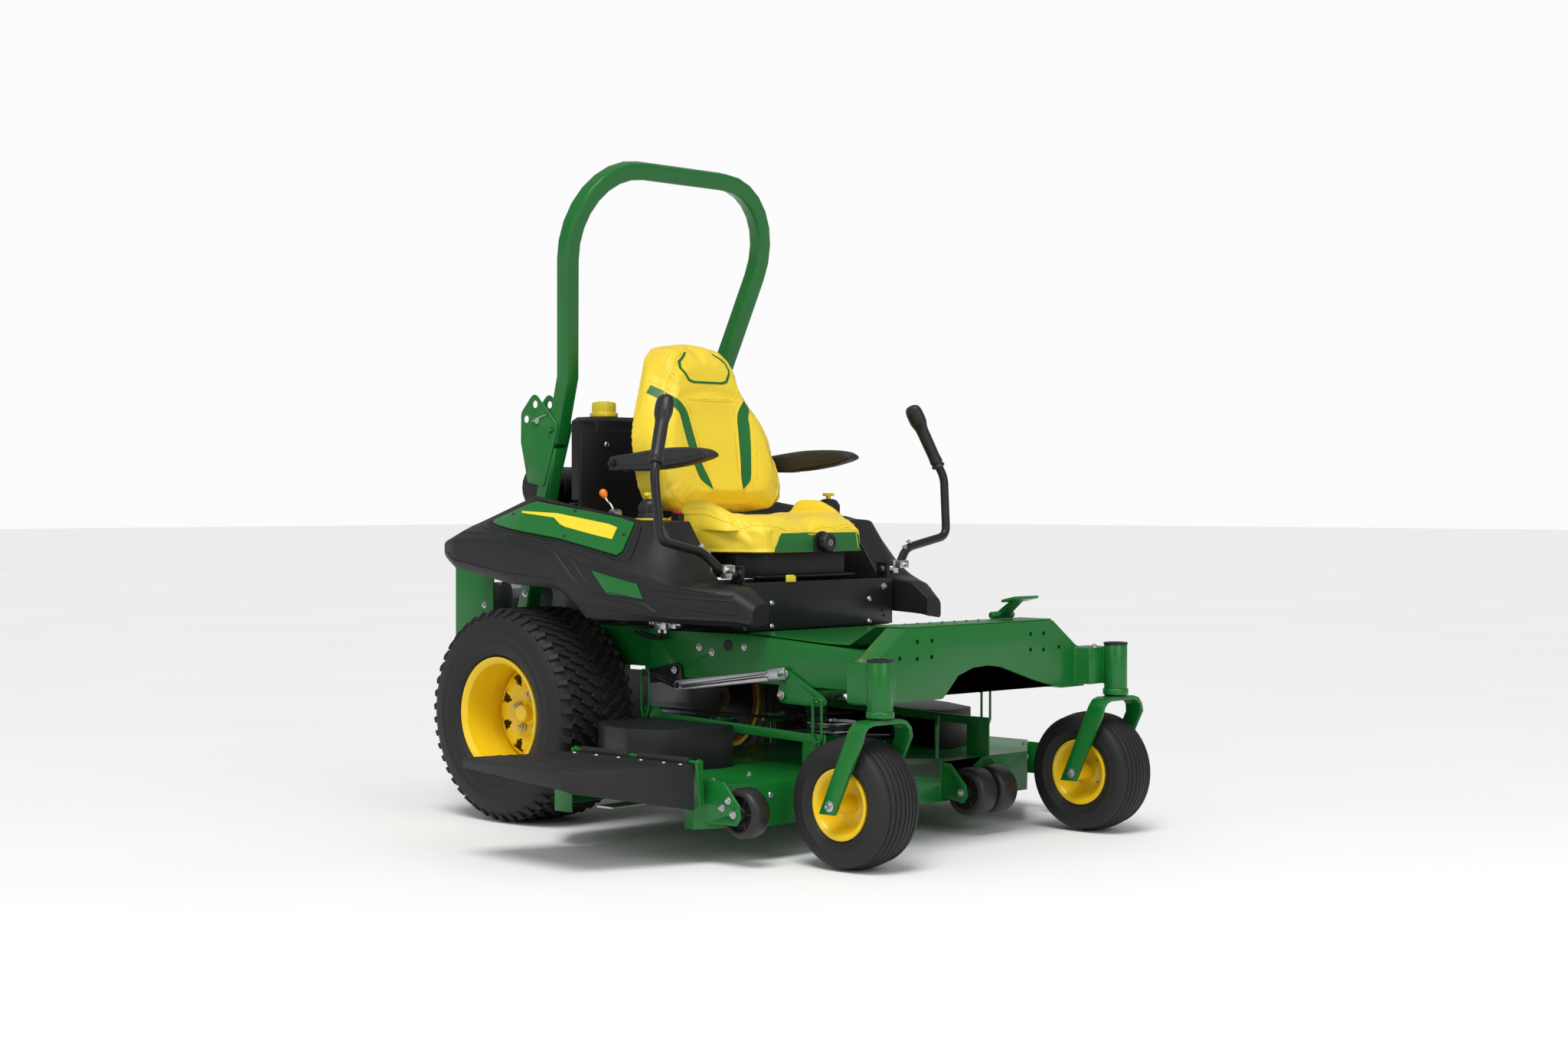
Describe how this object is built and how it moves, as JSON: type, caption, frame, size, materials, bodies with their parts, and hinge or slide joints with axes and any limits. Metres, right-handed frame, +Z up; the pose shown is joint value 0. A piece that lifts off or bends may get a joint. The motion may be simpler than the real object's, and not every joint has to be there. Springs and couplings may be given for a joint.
{
  "type": "zero turn mower",
  "caption": "Ride-on zero turn mower with a rear engine, side pods, suspended seat, folding roll bar, swing-in levers and a belly deck hung on a lift linkage.",
  "frame": {"origin": "on the ground, under the middle of the outer box", "axes": "+X is the way the machine drives, +Y is its left, +Z is up"},
  "size_m": [2.0786, 1.84, 1.904],
  "materials": {
    "green_paint": "gloss green paint",
    "yellow_paint": "gloss yellow paint",
    "yellow_vinyl": "soft yellow vinyl over foam",
    "black_plastic": "grained black plastic",
    "black_sheet": "satin black paint",
    "black_rubber": "matt rubber",
    "bright_steel": "plated steel",
    "cast_metal": "rough cast",
    "red_plastic": "gloss red",
    "orange_plastic": "gloss orange"
  },
  "bodies": {
    "mower": {"frame_rails": "green_paint", "front_beam": "green_paint", "foot_platform": "green_paint", "rear_guard": "green_paint", "rops_post_left": "green_paint", "rops_post_right": "green_paint", "engine_block": "cast_metal", "engine_covers": "black_plastic", "oil_tank": "black_plastic", "transmissions": "cast_metal", "seat_base": "black_sheet", "pod_left": "black_plastic", "pod_right": "black_plastic"},
    "roll_bar": {"rops_hoop": "green_paint"},
    "suspension": {"seat_suspension": "bright_steel"},
    "seat": {"seat_pan": "black_plastic", "seat_cushion": "yellow_vinyl", "belt_buckle": "black_plastic", "belt_reel": "black_plastic"},
    "backrest": {"seat_back": "yellow_vinyl", "back_shell": "black_plastic"},
    "arm_left": {"armrest_left": "black_plastic"},
    "arm_right": {"armrest_right": "black_plastic"},
    "weight_knob": {"seat_knob": "black_plastic"},
    "release_button": {"buckle_button": "red_plastic"},
    "fuel_cap_l": {"fuel_cap_left": "black_plastic"},
    "fuel_cap_r": {"fuel_cap_right": "black_plastic"},
    "oil_cap": {"tank_cap": "yellow_paint"},
    "throttle": {"throttle_lever": "orange_plastic"},
    "lever_pivot_left": {"lever_base_left": "black_sheet"},
    "lever_pivot_right": {"lever_base_right": "black_sheet"},
    "lever_left": {"control_lever_left": "black_sheet"},
    "lever_right": {"control_lever_right": "black_sheet"},
    "deck": {"deck_shell": "green_paint", "belt_cover_left": "black_plastic", "belt_cover_right": "black_plastic", "drive_belt": "black_rubber"},
    "blade_left": {"spindle_left": "bright_steel"},
    "blade_centre": {"spindle_centre": "bright_steel"},
    "blade_right": {"spindle_right": "bright_steel"},
    "clutch": {"clutch_pulley": "cast_metal"},
    "front_rollers": {"twin_rollers": "black_plastic"},
    "side_roller_left": {"roller_left": "black_plastic"},
    "side_roller_right": {"roller_right": "black_plastic"},
    "chute": {"discharge_chute": "black_rubber"},
    "front_bellcranks": {"lift_front": "green_paint"},
    "rear_bellcranks": {"lift_rear": "black_sheet"},
    "links": {"link_bar_left": "bright_steel", "link_bar_right": "bright_steel"},
    "pedal": {"lift_pedal": "green_paint"},
    "drive_wheel_left": {"drive_tyre_left": "black_rubber", "drive_rim_left": "yellow_paint"},
    "drive_wheel_right": {"drive_tyre_right": "black_rubber", "drive_rim_right": "yellow_paint"},
    "fork_left": {"caster_fork_left": "green_paint"},
    "fork_right": {"caster_fork_right": "green_paint"},
    "caster_wheel_left": {"caster_tyre_left": "black_rubber", "caster_rim_left": "yellow_paint"},
    "caster_wheel_right": {"caster_tyre_right": "black_rubber", "caster_rim_right": "yellow_paint"}
  },
  "joints": [
    {"name": "drive_left_roll", "type": "hinge", "parent": "mower", "child": "drive_wheel_left", "pos_m": [-0.42, 0.615, 0.305], "axis": [0, 1, 0], "continuous": true},
    {"name": "drive_right_roll", "type": "hinge", "parent": "mower", "child": "drive_wheel_right", "pos_m": [-0.42, -0.275, 0.305], "axis": [0, 1, 0], "continuous": true},
    {"name": "caster_left_swivel", "type": "hinge", "parent": "mower", "child": "fork_left", "pos_m": [0.9546, 0.6586, 0.3765], "axis": [0, 0, 1], "continuous": true},
    {"name": "caster_right_swivel", "type": "hinge", "parent": "mower", "child": "fork_right", "pos_m": [0.9546, -0.3186, 0.3765], "axis": [0, 0, 1], "continuous": true},
    {"name": "caster_left_roll", "type": "hinge", "parent": "fork_left", "child": "caster_wheel_left", "pos_m": [0.8736, 0.6586, 0.165], "axis": [0, 1, 0], "continuous": true},
    {"name": "caster_right_roll", "type": "hinge", "parent": "fork_right", "child": "caster_wheel_right", "pos_m": [0.8736, -0.3186, 0.165], "axis": [0, 1, 0], "continuous": true},
    {"name": "roll_bar_fold", "type": "hinge", "parent": "mower", "child": "roll_bar", "pos_m": [-0.4677, 0.17, 1.12], "axis": [0, 1, 0], "range_deg": [-105, 0]},
    {"name": "seat_suspension_travel", "type": "slide", "parent": "mower", "child": "suspension", "axis": [0, 0, 1], "range_m": [-0.015, 0.02], "stiffness_N_per_m": 20000},
    {"name": "seat_slide", "type": "slide", "parent": "suspension", "child": "seat", "axis": [1, 0, 0], "range_m": [-0.03, 0.03]},
    {"name": "backrest_recline", "type": "hinge", "parent": "seat", "child": "backrest", "pos_m": [-0.192, 0.17, 0.86], "axis": [0, 1, 0], "range_deg": [-12, 3]},
    {"name": "armrest_left_lift", "type": "hinge", "parent": "backrest", "child": "arm_left", "pos_m": [-0.221, 0.432, 1.021], "axis": [0, 1, 0], "range_deg": [-85, 0]},
    {"name": "armrest_right_lift", "type": "hinge", "parent": "backrest", "child": "arm_right", "pos_m": [-0.221, -0.092, 1.021], "axis": [0, 1, 0], "range_deg": [-85, 0]},
    {"name": "weight_knob_turn", "type": "hinge", "parent": "seat", "child": "weight_knob", "pos_m": [0.2803, 0.196, 0.797], "axis": [1, 0, 0], "continuous": true},
    {"name": "buckle_press", "type": "slide", "parent": "seat", "child": "release_button", "axis": [0, 0, 1], "range_m": [-0.005, 0], "stiffness_N_per_m": 300},
    {"name": "fuel_cap_left_turn", "type": "hinge", "parent": "mower", "child": "fuel_cap_l", "pos_m": [-0.009, 0.533, 0.862], "axis": [0, 0, 1], "range_deg": [0, 270]},
    {"name": "fuel_cap_right_turn", "type": "hinge", "parent": "mower", "child": "fuel_cap_r", "pos_m": [-0.009, -0.193, 0.862], "axis": [0, 0, 1], "range_deg": [0, 270]},
    {"name": "oil_cap_turn", "type": "hinge", "parent": "mower", "child": "oil_cap", "pos_m": [-0.465, 0.04, 1.164], "axis": [0, 0, 1], "range_deg": [0, 180]},
    {"name": "throttle_move", "type": "hinge", "parent": "mower", "child": "throttle", "pos_m": [-0.17, -0.18, 0.8779], "axis": [0, 1, 0], "range_deg": [0, 60]},
    {"name": "lever_left_drive", "type": "hinge", "parent": "mower", "child": "lever_pivot_left", "pos_m": [0.268, 0.535, 0.716], "axis": [0, 1, 0], "range_deg": [-9, 18]},
    {"name": "lever_right_drive", "type": "hinge", "parent": "mower", "child": "lever_pivot_right", "pos_m": [0.268, -0.195, 0.716], "axis": [0, 1, 0], "range_deg": [-9, 18]},
    {"name": "lever_left_swing", "type": "hinge", "parent": "lever_pivot_left", "child": "lever_left", "pos_m": [0.268, 0.535, 0.73], "axis": [1, 0, 0], "range_deg": [0, 32]},
    {"name": "lever_right_swing", "type": "hinge", "parent": "lever_pivot_right", "child": "lever_right", "pos_m": [0.268, -0.195, 0.73], "axis": [1, 0, 0], "range_deg": [-32, 0]},
    {"name": "deck_lift", "type": "slide", "parent": "mower", "child": "deck", "axis": [0, 0, 1], "range_m": [-0.02, 0.05]},
    {"name": "lift_front_turn", "type": "hinge", "parent": "mower", "child": "front_bellcranks", "pos_m": [0.47, 0.17, 0.4], "axis": [0, 1, 0], "range_deg": [-21, 8.5]},
    {"name": "lift_rear_turn", "type": "hinge", "parent": "mower", "child": "rear_bellcranks", "pos_m": [0.058, 0.17, 0.446], "axis": [0, 1, 0], "range_deg": [-11, 27]},
    {"name": "link_travel", "type": "slide", "parent": "mower", "child": "links", "axis": [1, 0, 0], "range_m": [-0.02, 0.008]},
    {"name": "pedal_press", "type": "hinge", "parent": "mower", "child": "pedal", "pos_m": [0.785, 0.37, 0.6048], "axis": [0, 1, 0], "range_deg": [-6, 15]},
    {"name": "clutch_spin", "type": "hinge", "parent": "mower", "child": "clutch", "pos_m": [-0.72, 0.1825, 0.4], "axis": [0, 0, 1], "continuous": true},
    {"name": "blade_left_spin", "type": "hinge", "parent": "deck", "child": "blade_left", "pos_m": [0.19, 0.6665, 0.11], "axis": [0, 0, 1], "continuous": true},
    {"name": "blade_centre_spin", "type": "hinge", "parent": "deck", "child": "blade_centre", "pos_m": [0.33, 0.1825, 0.11], "axis": [0, 0, 1], "continuous": true},
    {"name": "blade_right_spin", "type": "hinge", "parent": "deck", "child": "blade_right", "pos_m": [0.19, -0.3015, 0.11], "axis": [0, 0, 1], "continuous": true},
    {"name": "front_rollers_roll", "type": "hinge", "parent": "deck", "child": "front_rollers", "pos_m": [0.71, 0.37, 0.121], "axis": [0, 1, 0], "continuous": true},
    {"name": "side_roller_left_roll", "type": "hinge", "parent": "deck", "child": "side_roller_left", "pos_m": [0.61, 0.86, 0.137], "axis": [0, 1, 0], "continuous": true},
    {"name": "side_roller_right_roll", "type": "hinge", "parent": "deck", "child": "side_roller_right", "pos_m": [0.665, -0.495, 0.137], "axis": [0, 1, 0], "continuous": true},
    {"name": "chute_lift", "type": "hinge", "parent": "deck", "child": "chute", "pos_m": [0.35, -0.575, 0.262], "axis": [1, 0, 0], "range_deg": [-85, 0]}
  ],
  "couplings": [
    {"joint": "lift_front_turn", "follows": "deck_lift", "rad_per_m": -7.1429},
    {"joint": "lift_rear_turn", "follows": "deck_lift", "rad_per_m": 9.3458},
    {"joint": "link_travel", "follows": "deck_lift", "ratio": -0.39286},
    {"joint": "pedal_press", "follows": "deck_lift", "rad_per_m": 5},
    {"joint": "blade_left_spin", "follows": "clutch_spin", "ratio": 0.8427},
    {"joint": "blade_centre_spin", "follows": "clutch_spin", "ratio": 0.8427},
    {"joint": "blade_right_spin", "follows": "clutch_spin", "ratio": 0.8427}
  ]
}
